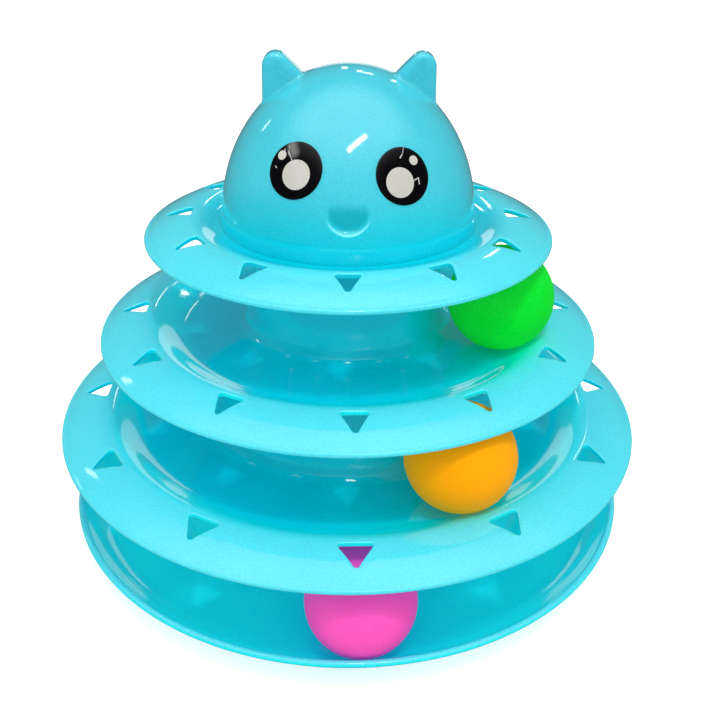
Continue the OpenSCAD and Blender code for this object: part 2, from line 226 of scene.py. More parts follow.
cyanLook = {
    "colour": (0.0, 0.61, 0.74), "cloud": (0.002, 0.65, 0.78), "cloudScale": 22,
    # paintedLit is painted light on the upward-facing flanges and lip
    "paintedLit": (0.092, 0.74, 0.85), "paintedLitCloud": (0.107, 0.77, 0.89),
    # head is the dome's darker tone, painted shade
    "head": (0.065, 0.59, 0.71), "shadedHeadCloud": (0.08, 0.64, 0.76),
    # climbLight and bowl are painted light, brighter on the climbs and in the base bowl
    "climbLight": (0.0, 0.9, 1.0), "bowl": (0.012, 0.9, 1.0),
    # shade is painted shade in the mouth's pocket, edge a painted highlight on its lower edge
    "shade": (0.002, 0.5, 0.6), "edge": (0.3, 0.9, 0.96), "highlightShare": 0.65,
    # where each begins and is full, in millimetres
    "where": {"crest": (127, 138), "climbLight": (112, 126), "climbEnd": (141, 135), "rim": (149.6, 151),
              "trays": (130, 120), "head": (143, 166), "dome": (56, 54), "bowl": (46, 40),
              "lip": (119.4, 120.6), "lipHeight": (24, 20), "front": (-40, -44),
              "mouthIn": (8.0, 6.2), "mouthTop": (3.6, -1.6), "edgeIn": (-0.5, -0.1),
              "edgeOut": (0.5, 0.1), "edgeTop": (-2.5, -5.5)},
    # the rims draw in by the slope as they rise, and the mouth's middle is this high
    "facing": (0.3, 0.8), "slope": 0.5176, "mouth": 157.344, "mouthEdge": 8.15,
    "fleckScale": 1500, "fleck": 0.06,
    "roughness": 0.06, "dullRoughness": 0.1, "dullScale": 45, "dullSpan": (0.35, 0.75),
    "grainScale": 2600, "grainStrength": 0.12, "grainDepth": 0.05,
    "waveScale": 38, "waveStrength": 0.25, "waveDepth": 0.12,
    # paintedGlow is Emission, painted light that lifts the shaded parts
    "paintedGlow": 0.07, "ior": 1.46, "coat": 0.6, "coatRoughness": 0.02,
    "through": 0.6, "throughReach": (0.25, 1.8, 2.2),
}
ballLook = {
    "cloudScale": 60, "fleckScale": 1100, "fleck": 0.05,
    "roughness": 0.5, "dullRoughness": 0.65, "dullScale": 120, "dullSpan": (0.35, 0.75),
    "grainScale": 3200, "grainStrength": 0.2, "grainDepth": 0.04,
    "waveScale": 90, "waveStrength": 0.1, "waveDepth": 0.05,
    # the balls' paintedGlow is Emission, painted light that lifts their shaded sides
    "paintedGlow": 0.16, "ior": 1.18, "coat": 0.0, "coatRoughness": 0.2,
    "through": 0.0, "throughReach": (2.0, 2.0, 2.0),
}
ballColours = {
    "pink": {"colour": (0.97, 0.09, 0.49), "cloud": (1.0, 0.105, 0.52)},
    "orange": {"colour": (0.98, 0.37, 0.0), "cloud": (1.0, 0.395, 0.002)},
    "green": {"colour": (0.0, 0.72, 0.026), "cloud": (0.006, 0.76, 0.04)},
}
cyanPlastic = mouldedPlastic("cyanPlastic", cyanLook)
ballPlastic = {name: mouldedPlastic(name + "Plastic", {**ballLook, **colours})
               for name, colours in ballColours.items()}

# Where the films' creases run, in millimetres
creases = {
    # the crease colour is a painted highlight; the bump gives the real folds
    "colour": (0.9, 0.9, 0.88, 1), "width": 0.3, "core": 0.04, "depth": 0.25,
    # each crease is lifted off the line through its dots, outwards and up
    "lift": 0.32, "liftRise": 25,
    "lines": [((-22.9, -33.0, 177.3), (-22.3, -35.4, 173.7)),
              ((-22.3, -35.4, 173.7), (-23.0, -35.6, 172.4)),
              ((-21.1, -34.0, 177.0), (-21.0, -35.6, 174.6)),
              ((-21.0, -35.6, 174.6), (-19.8, -37.6, 172.4)),
              ((19.5, -34.2, 177.4), (18.9, -36.5, 175.2)),
              ((18.9, -36.5, 175.2), (18.1, -37.7, 173.8)),
              ((22.8, -39.6, 166.1), (24.7, -38.2, 166.7)),
              ((24.7, -38.2, 166.7), (25.1, -38.9, 164.8)),
              ((-25.9, -35.6, 170.0), (-25.5, -35.9, 169.5)),
              ((-24.4, -35.0, 172.6), (-24.0, -35.2, 172.2))],
    # a grey painted reflection lies along this line, beside the left eye's creases
    "paintedReflection": ((-20.1, -34.7, 177.2), (-19.2, -36.2, 175.0)), "reflectionReach": (3.0, 0.2), "reflectionShare": 0.35,
}
filmLook = {
    "colour": (0.002, 0.002, 0.003, 1), "dust": (0.005, 0.005, 0.006, 1), "paintedReflection": (0.55, 0.55, 0.53, 1),
    "dustScale": 900, "dustSpan": (0.5, 0.8),
    "roughness": 0.09, "dullRoughness": 0.18, "dullSpan": (0.3, 0.8),
    "rippleScale": 120, "ripple": 0.2, "rippleDepth": 0.25, "swayScale": 420, "sway": 0.9, "ior": 1.42,
}


# Black sticker film: its creases are bumped folds painted pale as painted highlights, and a grey painted
# reflection lies beside them
def stickerFilm(look):
    finish = Finish("stickerFilm")
    place = finish.place()
    dust = finish.noise(place, look["dustScale"], detail=3)
    sway = look["sway"] * mm
    wander = finish.add("TexNoise", {}, {"Vector": place, "Scale": look["swayScale"]}, out="Color")
    swayed = finish.vector("ADD", place, finish.scaled(wander, sway))
    swayed = finish.vector("SUBTRACT", swayed, Vector((sway / 2, sway / 2, sway / 2)))
    foldAndHighlight = None
    for ends in creases["lines"]:
        outward = [Vector((x, y, creases["liftRise"])).normalized() for x, y, z in ends]
        start, end = [Vector(dot) + creases["lift"] * way for dot, way in zip(ends, outward)]
        line = finish.between(finish.fromLine(swayed, start, end), creases["width"] * mm,
                              creases["core"] * mm)
        foldAndHighlight = line if foldAndHighlight is None else foldAndHighlight.greater(line)
    ripple = finish.bump(finish.noise(place, look["rippleScale"]), look["ripple"], look["rippleDepth"] * mm)
    plain = finish.mix(finish.between(dust, *look["dustSpan"]), look["colour"], look["dust"])
    # the grey painted reflection beside the creases
    paintedReflection = finish.between(finish.fromLine(swayed, *creases["paintedReflection"]),
                          *[edge * mm for edge in creases["reflectionReach"]])
    plain = finish.mix(paintedReflection * creases["reflectionShare"], plain, look["paintedReflection"])
    # the creases' pale colour is a painted highlight
    finish.set(Base_Color=finish.mix(foldAndHighlight, plain, creases["colour"]),
               Roughness=finish.between(dust, *look["dullSpan"], look["roughness"], look["dullRoughness"]),
               Normal=finish.bump(foldAndHighlight, 1.0, creases["depth"] * mm, ripple), IOR=look["ior"])
    return finish.material


printLook = {
    "colour": (0.6, 0.58, 0.52, 1), "cloud": (0.66, 0.64, 0.59, 1), "cloudScale": 90,
    "inkScale": 500, "ink": 0.1, "inkDepth": 0.05, "roughness": 0.26, "dullRoughness": 0.36, "ior": 1.42,
}


def whitePrint(look):
    finish = Finish("whitePrint")
    place = finish.place()
    ink = finish.noise(place, look["inkScale"], detail=3)
    cloud = finish.spread(finish.noise(place, look["cloudScale"]))
    finish.set(Base_Color=finish.mix(cloud, look["colour"], look["cloud"]),
               Roughness=finish.spread(ink, look["roughness"], look["dullRoughness"]),
               Normal=finish.bump(ink, look["ink"], look["inkDepth"] * mm), IOR=look["ior"])
    return finish.material


padLook = {
    "colour": (0.035, 0.035, 0.037, 1), "dust": (0.07, 0.07, 0.074, 1), "dustScale": 240,
    "cellScale": 1400, "cells": 0.6, "cellDepth": 0.2, "roughness": 0.75, "dullRoughness": 0.95,
}


def padFoam(look):
    finish = Finish("padFoam")
    place = finish.place()
    dust = finish.noise(place, look["dustScale"], detail=3)
    cells = finish.add("TexVoronoi", {"feature": "F1"}, {"Vector": place, "Scale": look["cellScale"]},
                       out="Distance")
    finish.set(Base_Color=finish.mix(dust, look["colour"], look["dust"]),
               Roughness=finish.spread(dust, look["roughness"], look["dullRoughness"]),
               Normal=finish.bump(cells, look["cells"], look["cellDepth"] * mm))
    return finish.material


# Pieces: outlines are (radius, height) in millimetres, spun about the tower's axis. Points closer
# than these are merged, and an edge is sharp from this angle on.
meshing = {"merge": 0.001, "sliver": 0.0005, "sharp": 40}


def linked(name, data):
    piece = bpy.data.objects.new(name, data)
    scene.collection.objects.link(piece)
    return piece


def pieceFrom(bm, name):
    mesh = bpy.data.meshes.new(name)
    bm.to_mesh(mesh)
    bm.free()
    return linked(name, mesh)


def spun(outline, steps, closed=True):
    bm = bmesh.new()
    dots = [bm.verts.new((r * mm, 0, z * mm)) for r, z in outline]
    edges = [bm.edges.new(pair) for pair in zip(dots, dots[1:] + dots[:1] * closed)]
    bmesh.ops.spin(bm, geom=dots + edges, axis=up, cent=(0, 0, 0), angle=math.tau, steps=steps,
                   use_merge=True)
    bmesh.ops.remove_doubles(bm, verts=bm.verts, dist=meshing["merge"] * mm)
    bmesh.ops.recalc_face_normals(bm, faces=bm.faces)
    return bm


def boxAt(bm, low, high, turn=0.0):
    made = bmesh.ops.create_cube(bm, size=1)["verts"]
    size = [(b - a) * mm for a, b in zip(low, high)]
    middle = [(a + b) / 2 * mm for a, b in zip(low, high)]
    bmesh.ops.scale(bm, verts=made, vec=size)
    bmesh.ops.translate(bm, verts=made, vec=middle)
    bmesh.ops.rotate(bm, verts=made, cent=(0, 0, 0), matrix=Matrix.Rotation(turn, 3, up))


# Cuts a shape out of a piece, or joins it on, and keeps the result as the piece's own mesh
def combine(piece, shape, operation):
    tool = pieceFrom(shape, "tool")
    step = piece.modifiers.new("step", "BOOLEAN")
    step.operation, step.solver, step.object = operation, "EXACT", tool
    applied(piece)
    bpy.data.objects.remove(tool)


def applied(piece):
    graph = bpy.context.evaluated_depsgraph_get()
    mesh = bpy.data.meshes.new_from_object(piece.evaluated_get(graph))
    piece.modifiers.clear()
    piece.data = mesh
    mesh.name = piece.name


def finishPiece(piece, material, body, nodes):
    bm = bmesh.new()
    bm.from_mesh(piece.data)
    bmesh.ops.dissolve_degenerate(bm, dist=meshing["sliver"] * mm, edges=bm.edges)
    bm.to_mesh(piece.data)
    bm.free()
    piece.data.shade_smooth()
    piece.data.set_sharp_from_angle(angle=math.radians(meshing["sharp"]))
    piece.data.materials.clear()
    piece.data.materials.append(material)
    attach(piece, body)
    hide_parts(*nodes)
    print(piece.name, len(piece.data.polygons), "faces")


def bend(start, pull, end, steps):
    start, pull, end = Vector(start), Vector(pull), Vector(end)
    return [tuple((1 - t) ** 2 * start + 2 * t * (1 - t) * pull + t * t * end)
            for t in [i / steps for i in range(steps + 1)]]


def ease(t):
    return t * t * (3 - 2 * t)


# What every tray and the disc share
moulding = {
    "wall": 2.0, "rimBead": 1.0, "lipBead": 1.3, "beadSteps": 12,
    "flange": 19.0, "drop": 6.3, "floorOut": 3.0, "fillet": 8.0, "bowlSteps": 20, "filletSteps": 12,
    "ballRadius": 21.0, "hubGap": 2.5, "lean": 6.0, "spigot": 12.0, "slip": 0.3,
    # small roundings at a hub's shoulder and its spigot
    "shoulder": 1.2, "shoulderSteps": 5, "cove": 0.6, "tipEdge": 0.4, "root": 0.5,
    # keys, and how far a cutter reaches past what it cuts
    "keys": 4, "keyWidth": 8.0, "keyHeight": 4.0, "over": 1.0,
    "holes": 12, "holeLength": 10.2, "holeCorner": 1.2, "cornerSteps": 5, "sideParts": 9,
    "holeInset": 0.6, "holeRound": 0.55, "holeSoft": 24, "roundSteps": 4,
    # how far a cutter's rings lie off the flange, and its ends above and below the crest
    "cutterOver": 0.25, "cutterTop": 2, "cutterLow": 9,
    "steps": 240, "curve": 16,
}
wall = moulding["wall"]


# How far behind a bead's middle the wall meets it
def beadReach(bead):
    return math.sqrt(bead ** 2 - (wall / 2) ** 2)


def roundEdge(middle, facing, bead):
    half, steps = math.pi / 2 + math.atan2(beadReach(bead), wall / 2), moulding["beadSteps"]
    angles = [facing + half * (1 - 2 * i / steps) for i in range(1, steps)]
    return [(middle[0] + bead * math.cos(a), middle[1] + bead * math.sin(a)) for a in angles]


# The rim that a flange ends in, and the length of the flange before it
def rimOf(tier):
    bead = moulding["rimBead"]
    return roundEdge((tier["edge"] - bead, tier["floor"] + tier["rise"] - moulding["drop"]), 0, bead)


fallLength = moulding["flange"] - moulding["rimBead"] - beadReach(moulding["rimBead"])


def hubFoot(tier):
    return tier["track"] - moulding["ballRadius"] - moulding["hubGap"]


def hubRadius(tier, z):
    share = (z - tier["floor"]) / (tier["seat"] - tier["floor"])
    return hubFoot(tier) - moulding["lean"] * share


# The hub from its closed top and spigot down to the channel, and its hollow underside
def hubTop(tier):
    floor, seat, tip = tier["floor"], tier["seat"], tier["seat"] + moulding["spigot"]
    outer, inner = tier["spigot"], tier["spigot"] - wall
    cove, edge, root = moulding["cove"], moulding["tipEdge"], moulding["root"]
    dip, fillet = moulding["shoulder"], moulding["fillet"]
    shoulder, foot = hubRadius(tier, seat), hubFoot(tier)
    return [(0, seat), (inner - cove, seat), (inner, seat + cove),
            (inner, tip - edge), (inner + edge, tip), (outer - edge, tip),
            (outer, tip - edge), (outer, seat + root), (outer + root, seat),
            *bend((shoulder - dip, seat), (shoulder, seat), (hubRadius(tier, seat - dip), seat - dip),
                  moulding["shoulderSteps"]),
            *bend((hubRadius(tier, floor + fillet), floor + fillet), (foot, floor),
                  (foot + fillet, floor), moulding["filletSteps"])]


def hubUnder(tier):
    foot, fillet = hubFoot(tier), moulding["fillet"]
    low, seat = tier["floor"] - wall, tier["seat"] - wall
    inner = hubRadius(tier, tier["floor"] + fillet - wall) - wall
    curve = bend((inner, low + fillet), (foot - wall, low), (foot + fillet - wall, low),
                 moulding["filletSteps"])
    return [*reversed(curve), (hubRadius(tier, seat + wall) - wall, seat), (0, seat)]


# A flange's top face: it climbs from its foot to the crest, then falls to the rim
def flangeTop(tier, start):
    floor, rise = tier["floor"], tier["rise"]
    crest, fall = tier["edge"] - moulding["flange"], moulding["drop"] - wall / 2
    shares = [i / moulding["curve"] for i in range(moulding["curve"] + 1)]
    return [*[(start + (crest - start) * t, floor + rise * ease(t)) for t in shares],
            *[(crest + fallLength * t, floor + rise - fall * t ** 2) for t in shares[1:]]]


def lowered(outline):
    return [(r, z - wall) for r, z in reversed(outline)]


# Triangular cut-outs with rounded edges: the outline's dots, each with the way it faces
def triangle(width):
    corner, length, steps = moulding["holeCorner"], moulding["holeLength"], moulding["cornerSteps"]
    base, tip = width / 2 - corner, length - corner
    lean = math.atan2(base, tip - corner)
    corners = [(math.pi, math.pi / 2 - lean, (corner, base)),
               (math.pi / 2 - lean, lean - math.pi / 2, (tip, 0)),
               (lean - math.pi / 2, -math.pi, (corner, -base))]
    dots = []
    for first, last, middle in corners:
        for i in range(steps + 1):
            a = first + (last - first) * i / steps
            facing = Vector((math.cos(a), math.sin(a)))
            dots.append((Vector(middle) + corner * facing, facing))
    sides = []
    for i, (dot, facing) in enumerate(dots):
        nextDot, nextFacing = dots[(i + 1) % len(dots)]
        parts = moulding["sideParts"] if (nextDot - dot).length > corner * 2 else 1
        sides += [(dot.lerp(nextDot, j / parts), facing.lerp(nextFacing, j / parts).normalized())
                  for j in range(parts)]
    return sides


# The cutter's rings, as (out from the outline, up from the flange): one above, the rounded edges of
# both faces, and one below
def cutterRings():
    rounding, soft = moulding["holeRound"], math.radians(moulding["holeSoft"])
    steps, over = moulding["roundSteps"], moulding["cutterOver"]
    arc = [soft + (math.pi / 2 - soft) * i / steps for i in range(steps + 1)]
    lip = [(rounding * (1 - math.sin(a)), -rounding * (1 - math.cos(a))) for a in arc]
    outside = lip[0][0] + (over - lip[0][1]) / math.tan(soft)
    return [(outside, over), *lip, *[(out, -wall - depth) for out, depth in reversed(lip)],
            (outside, -wall - over)]


def cutOuts(tier, surface):
    outline, rings = triangle(tier["hole"]), cutterRings()
    crest, crestZ = tier["edge"] - moulding["flange"], tier["floor"] + tier["rise"]
    # a flat ring at each end closes the cutter
    flat = {0: crestZ + moulding["cutterTop"], len(rings) + 1: crestZ - moulding["cutterLow"]}
    bm = bmesh.new()
    loop = bmesh.ops.create_circle(bm, segments=len(outline), radius=mm)["verts"]
    edges = list({e for v in loop for e in v.link_edges})
    loops = [loop]
    for _ in range(len(rings) + 1):
        made = bmesh.ops.extrude_edge_only(bm, edges=edges)["geom"]
        edges = [g for g in made if isinstance(g, bmesh.types.BMEdge)]
        loops.append([next(e.other_vert(v) for e in v.link_edges if e.other_vert(v) in made)
                      for v in loops[-1]])
    for i, (out, rise) in enumerate([rings[0], *rings, rings[-1]]):
        for vert, (dot, facing) in zip(loops[i], outline):
            spot = dot + facing * out
            x, y = crest + moulding["holeInset"] + spot.x, spot.y
            vert.co = Vector((x, y, flat.get(i, surface(math.hypot(x, y)) + rise))) * mm
    for end in (loops[0], loops[-1]):
        bm.faces.new(end)
    bmesh.ops.recalc_face_normals(bm, faces=bm.faces)
    bmesh.ops.rotate(bm, verts=bm.verts, cent=(0, 0, 0),
                     matrix=Matrix.Rotation(math.radians(tier["turn"]) - math.pi / 2, 3, up))
    count = moulding["holes"]
    bmesh.ops.spin(bm, geom=bm.verts[:] + bm.edges[:] + bm.faces[:], axis=up, cent=(0, 0, 0),
                   angle=math.tau * (count - 1) / count, steps=count - 1, use_duplicate=True)
    return bm


def surfaceOf(outline):
    radii, heights = zip(*outline)
    return lambda r: float(np.interp(r, radii, heights))


# A box at the place of each key, between two radii and two heights
def boxesRound(inner, outer, low, high, width):
    bm = bmesh.new()
    for k in range(moulding["keys"]):
        boxAt(bm, (inner, -width / 2, low), (outer, width / 2, high),
              math.tau * (k + 0.5) / moulding["keys"])
    return bm


def keyNotches(tier):
    seat, over = tier["seat"], moulding["over"]
    return boxesRound(tier["spigot"] - wall - over, tier["spigot"] + over, seat,
                      seat + moulding["spigot"] + over, moulding["keyWidth"] + 2 * moulding["slip"])


# The base tray: a bowl-shaped channel with a rolled lip
baseTier = {"track": 100.787, "edge": 123.0, "floor": 4.7, "seat": 49.1, "spigot": 58.652,
            "lip": 15.7, "slope": 54.0}


# Where one face of the outer wall meets the lip, and where its line meets the channel's floor
def lipFoot(tier, side):
    slope, bead = math.radians(tier["slope"]), moulding["lipBead"]
    back, half = beadReach(bead), side * wall / 2
    return (tier["edge"] - bead - back * math.cos(slope) - half * math.sin(slope),
            tier["lip"] - back * math.sin(slope) + half * math.cos(slope))


def lipTurn(tier, side, z):
    r, high = lipFoot(tier, side)
    return (r - (high - z) / math.tan(math.radians(tier["slope"])), z)


def makeBase(tier):
    end, low = tier["track"] + moulding["floorOut"], tier["floor"] - wall
    bead, steps = moulding["lipBead"], moulding["bowlSteps"]
    bowl = bend((end, tier["floor"]), lipTurn(tier, 1, tier["floor"]), lipFoot(tier, 1), steps)
    under = bend(lipFoot(tier, -1), lipTurn(tier, -1, low), (end, low), steps)
    edge = roundEdge((tier["edge"] - bead, tier["lip"]), math.radians(tier["slope"]), bead)
    outline = [*hubTop(tier), *bowl, *edge, *under, *hubUnder(tier)]
    tray = pieceFrom(spun(outline, moulding["steps"], closed=False), "baseTray")
    combine(tray, keyNotches(tier), "DIFFERENCE")
    finishPiece(tray, cyanPlastic, "base", ["base_tray"])


# The two trays above it: a channel inside a flange that falls to its rim
upperTiers = {
    "lowerTray": {"track": 86.0, "edge": 125.0, "floor": 51.2, "seat": 89.5731, "spigot": 37.9643,
                  "under": baseTier["spigot"], "rise": 7.0, "hole": 12.4, "turn": 1.7,
                  "body": "lower_tier", "node": "lower_tray"},
    "upperTray": {"track": 65.1, "edge": 104.1, "floor": 91.6713, "seat": 136.144, "spigot": 28.0,
                  "under": 37.9643, "rise": 7.0, "hole": 10.0, "turn": 1.7,
                  "body": "upper_tier", "node": "upper_tray"},
}


def makeTray(name, tier):
    top = flangeTop(tier, tier["track"] + moulding["floorOut"])
    outline = [*hubTop(tier), *top, *rimOf(tier), *lowered(top), *hubUnder(tier)]
    tray = pieceFrom(spun(outline, moulding["steps"], closed=False), name)
    combine(tray, cutOuts(tier, surfaceOf(top)), "DIFFERENCE")
    combine(tray, keyNotches(tier), "DIFFERENCE")
    high = tier["floor"] - wall + moulding["spigot"]
    low = high - moulding["keyHeight"]
    keys = boxesRound(tier["under"] - wall, hubRadius(tier, low) - wall / 2, low, high,
                      moulding["keyWidth"])
    combine(tray, keys, "UNION")
    finishPiece(tray, cyanPlastic, tier["body"], [tier["node"]])


# The top disc: the same flange round a plate that the head snaps into
topTier = {"edge": 82.3, "floor": 138.244, "rise": 2.5, "groove": 53.0, "bore": 28.3, "spigot": 28.0,
           "hole": 9.2, "turn": 0.0,
           # the slots of the head's snap tabs, and how far they are cut below and above the floor
           "tab": 45.5, "tabWidth": 9.6, "tabWall": 2.6, "slotBelow": 4, "slotAbove": 2}


def makeDisc(tier):
    floor, slip = tier["floor"], moulding["slip"]
    top = [(tier["bore"], floor), *flangeTop(tier, tier["groove"])]
    disc = pieceFrom(spun([*top, *rimOf(tier), *lowered(top)], moulding["steps"]), "topDisc")
    combine(disc, cutOuts(tier, surfaceOf(top)), "DIFFERENCE")
    slots = boxesRound(tier["tab"], tier["tab"] + tier["tabWall"], floor - tier["slotBelow"],
                       floor + tier["slotAbove"], tier["tabWidth"])
    combine(disc, slots, "DIFFERENCE")
    keys = boxesRound(tier["spigot"] - wall, tier["bore"] + wall, floor - wall + slip, floor - slip,
                      moulding["keyWidth"])
    combine(disc, keys, "UNION")
    finishPiece(disc, cyanPlastic, "top", ["top_disc"])


makeBase(baseTier)
for name, tier in upperTiers.items():
    makeTray(name, tier)
makeDisc(topTier)

# The head: a dome, its ledge and two ears in one skin. Its points are drawn onto a smooth
# form that is given as a distance, so the joins come out as soft fillets.
head = {
    "radius": 51.0, "height": 58.7, "middle": 140.144, "foot": 138.244,
    "ledge": 5.6, "ledgeOut": 0.5, "ledgeRound": 0.7, "ledgeJoin": 1.3,
    "earOut": 33.5, "earIn": 18.6, "earRise": 4.7, "earTip": 5.0, "earThick": 10.0, "earRound": 2.4,
    "earTaper": 0.75, "taperLength": 28, "taperMost": 1.15, "earBulge": 0.7, "bulgeLength": 24, "join": 1.3,
    "mouthRadius": 8.2, "mouthLow": 10.9, "mouthDepth": 2.5, "mouthRound": 0.6, "mouthScoop": 3.0,
    "hollow": 3.6,
    # the rough form: what is cut off below the foot, the ears' roots and the mouth's plug
    "stock": 3, "rootRise": 20, "rootRun": 32, "plug": 20, "plugPlace": 57.9,
    "domeSteps": 40, "earSteps": 13, "turns": 160, "hollowTurns": 96, "mouthTurns": 64,
    # the even mesh, and how its points are drawn onto the form
    "voxel": 0.62, "nudge": 0.02, "rounds": 6, "leastSteep": 0.2,
}


# The middle of an ear's round tip, and the way its inner side leans
def earLines():
    tip = np.array([head["earOut"] - head["earTip"],
                    head["middle"] + head["height"] + head["earRise"] - head["earTip"]])
    foot = np.array([head["earIn"], head["middle"]
                     + head["height"] * math.sqrt(1 - (head["earIn"] / head["radius"]) ** 2)])
    reach = tip - foot
    slope = math.atan2(reach[1], reach[0]) + math.asin(head["earTip"] / np.linalg.norm(reach))
    return tip, slope


earTip, earSlope = earLines()
earDown = np.array([-math.cos(earSlope), -math.sin(earSlope)])
earInward = np.array([-math.sin(earSlope), math.cos(earSlope)])


# How far points lie off a form of rounded edges, from how far they are past two of its sides
def roundedOff(first, second, rounding):
    first, second = first + rounding, second + rounding
    outside = np.hypot(np.maximum(first, 0), np.maximum(second, 0))
    return np.minimum(np.maximum(first, second), 0) + outside - rounding


# Distance from a plate with a rounded outline and rounded edges, one on each side
def earDistance(p):
    rise = np.clip((p[:, 2] - earTip[1] + head["taperLength"]) / head["taperLength"], 0, head["taperMost"])
    q = np.stack([np.abs(p[:, 0]) + head["earTaper"] * rise - earTip[0], p[:, 2] - earTip[1]], 1)
    along = q @ earDown
    share = np.clip(along / head["bulgeLength"], 0, 1)
    right, inner = q[:, 0], q @ earInward - head["earBulge"] * 4 * share * (1 - share)
    far = np.linalg.norm(q, axis=1)
    outline = np.where((right <= 0) & (inner <= 0), np.maximum(right, inner),
                       np.where((right > 0) & (q[:, 1] < 0), right,
                                np.where((inner > 0) & (along > 0), inner, far)))
    return roundedOff(outline - head["earTip"], np.abs(p[:, 1]) - head["earThick"] / 2, head["earRound"])


def domeDistance(p):
    q = p - [0, 0, head["middle"]]
    size = np.array([head["radius"], head["radius"], head["height"]])
    near, nearer = np.linalg.norm(q / size, axis=1), np.linalg.norm(q / size ** 2, axis=1)
    return near * (near - 1) / nearer


def ledgeDistance(p):
    out = np.hypot(p[:, 0], p[:, 1]) - head["radius"] - head["ledgeOut"]
    return roundedOff(out, p[:, 2] - head["foot"] - head["ledge"], head["ledgeRound"])


def mouthDistance(p):
    low = head["foot"] + head["mouthLow"]
    drop = (low - head["middle"]) / head["height"]
    back = head["radius"] * math.sqrt(1 - drop ** 2) - head["mouthDepth"]
    off = np.hypot(p[:, 0], p[:, 2] - low - head["mouthRadius"]) - head["mouthRadius"]
    return -softMin(-off, -p[:, 1] - back, head["mouthScoop"])


# The smaller of two distances, with a fillet where they meet
def softMin(a, b, fillet):
    share = np.clip(0.5 + 0.5 * (b - a) / fillet, 0, 1)
    return b + (a - b) * share - fillet * share * (1 - share)


def headDistance(p):
    skin = softMin(domeDistance(p), earDistance(p), head["join"])
    skin = softMin(skin, ledgeDistance(p), head["ledgeJoin"])
    return -softMin(-skin, mouthDistance(p), head["mouthRound"])


def slopeOf(distance, p):
    nudge = head["nudge"]
    return np.stack([(distance(p + nudge * axis) - distance(p - nudge * axis)) / (2 * nudge)
                     for axis in np.eye(3)], 1)


def drawnOnto(distance, p):
    for _ in range(head["rounds"]):
        slope = slopeOf(distance, p)
        steep = np.maximum((slope ** 2).sum(1), head["leastSteep"])
        p = p - slope * (distance(p) / steep)[:, None]
    return p


# One ear as a plate with straight sides and a round tip
def roughEar(side):
    root = head["foot"] + head["rootRise"]
    top = [earTip + head["earTip"] * np.array([math.cos(a), math.sin(a)])
           for a in np.linspace(0, earSlope + math.pi / 2, head["earSteps"] + 1)]
    low = earTip + earInward * head["earTip"] + head["rootRun"] * earDown
    dots = [(head["earOut"], root), *top, tuple(low), (low[0], root)]
    ear = bmesh.new()
    face = ear.faces.new([ear.verts.new((side * x * mm, -head["earThick"] / 2 * mm, z * mm))
                          for x, z in dots])
    made = bmesh.ops.extrude_face_region(ear, geom=[face])["geom"]
    bmesh.ops.translate(ear, verts=[g for g in made if isinstance(g, bmesh.types.BMVert)],
                        vec=(0, head["earThick"] * mm, 0))
    bmesh.ops.recalc_face_normals(ear, faces=ear.faces)
    return ear


def mouthPlug():
    plug = bmesh.new()
    radius = head["mouthRadius"] * mm
    bmesh.ops.create_cone(plug, cap_ends=True, segments=head["mouthTurns"], radius1=radius,
                          radius2=radius, depth=head["plug"] * mm)
    bmesh.ops.rotate(plug, verts=plug.verts, cent=(0, 0, 0), matrix=Matrix.Rotation(math.pi / 2, 3, "X"))
    place = Vector((0, -head["plugPlace"], head["foot"] + head["mouthLow"] + head["mouthRadius"]))
    bmesh.ops.translate(plug, verts=plug.verts, vec=place * mm)
    return plug


def makeHead():
    foot, middle, steps = head["foot"], head["middle"], head["domeSteps"]
    below, top = foot - head["stock"], foot + head["ledge"]
    arc = [math.pi / 2 * i / steps for i in range(steps + 1)]
    dome = [(head["radius"] * math.cos(a), middle + head["height"] * math.sin(a)) for a in arc]
    ledge, crown, over = head["radius"] + head["ledgeOut"], dome[-1][1], moulding["over"]
    wide = ledge + over
    outline = [(0, below), (ledge, below), (ledge, top), *[dot for dot in dome[:-1] if dot[1] > top]]
    skin = pieceFrom(spun([*outline, (0, crown)], head["turns"], closed=False), "catHead")
    for side in (-1, 1):
        combine(skin, roughEar(side), "UNION")
    combine(skin, mouthPlug(), "DIFFERENCE")
    remesh = skin.modifiers.new("remesh", "REMESH")
    remesh.mode, remesh.voxel_size = "VOXEL", head["voxel"] * mm
    applied(skin)
    points = np.empty(len(skin.data.vertices) * 3)
    skin.data.vertices.foreach_get("co", points)
    points = points.reshape(-1, 3) / mm
    # what lies lower stays rough, and is cut off with the stock
    upper = points[:, 2] > below + over
    points[upper] = drawnOnto(headDistance, points[upper])
    skin.data.vertices.foreach_set("co", (points * mm).ravel())
    stock = bmesh.new()
    boxAt(stock, (-wide, -wide, below - head["stock"]), (wide, wide, foot))
    combine(skin, stock, "DIFFERENCE")
    thick = head["hollow"]
    slim, flat = 1 - thick / head["radius"], 1 - thick / head["height"]
    hollow = [(0, foot - over), (head["radius"] - thick, foot - over),
              *[(r * slim, middle + (z - middle) * flat) for r, z in dome[:-1:2]], (0, crown - thick)]
    combine(skin, spun(hollow, head["hollowTurns"], closed=False), "DIFFERENCE")
    finishPiece(skin, cyanPlastic, "top", ["cat_head"])


makeHead()

# Eye stickers: thin discs that lie on the dome, each with two printed spots
eyes = {"radius": 10.3, "film": 0.3, "print": 0.1, "spot": 5.35, "glint": 1.72, "bearing": 25.6,
        "edge": 0.12, "edgeSteps": 3, "rings": 12, "turns": 72}
eyeSides = {
    "left": {"side": -1, "up": 31.5, "spot": (-0.09, -0.15), "glint": (0.6, 0.45)},
    "right": {"side": 1, "up": 29.9, "spot": (-0.17, -0.21), "glint": (0.49, 0.48)},
}


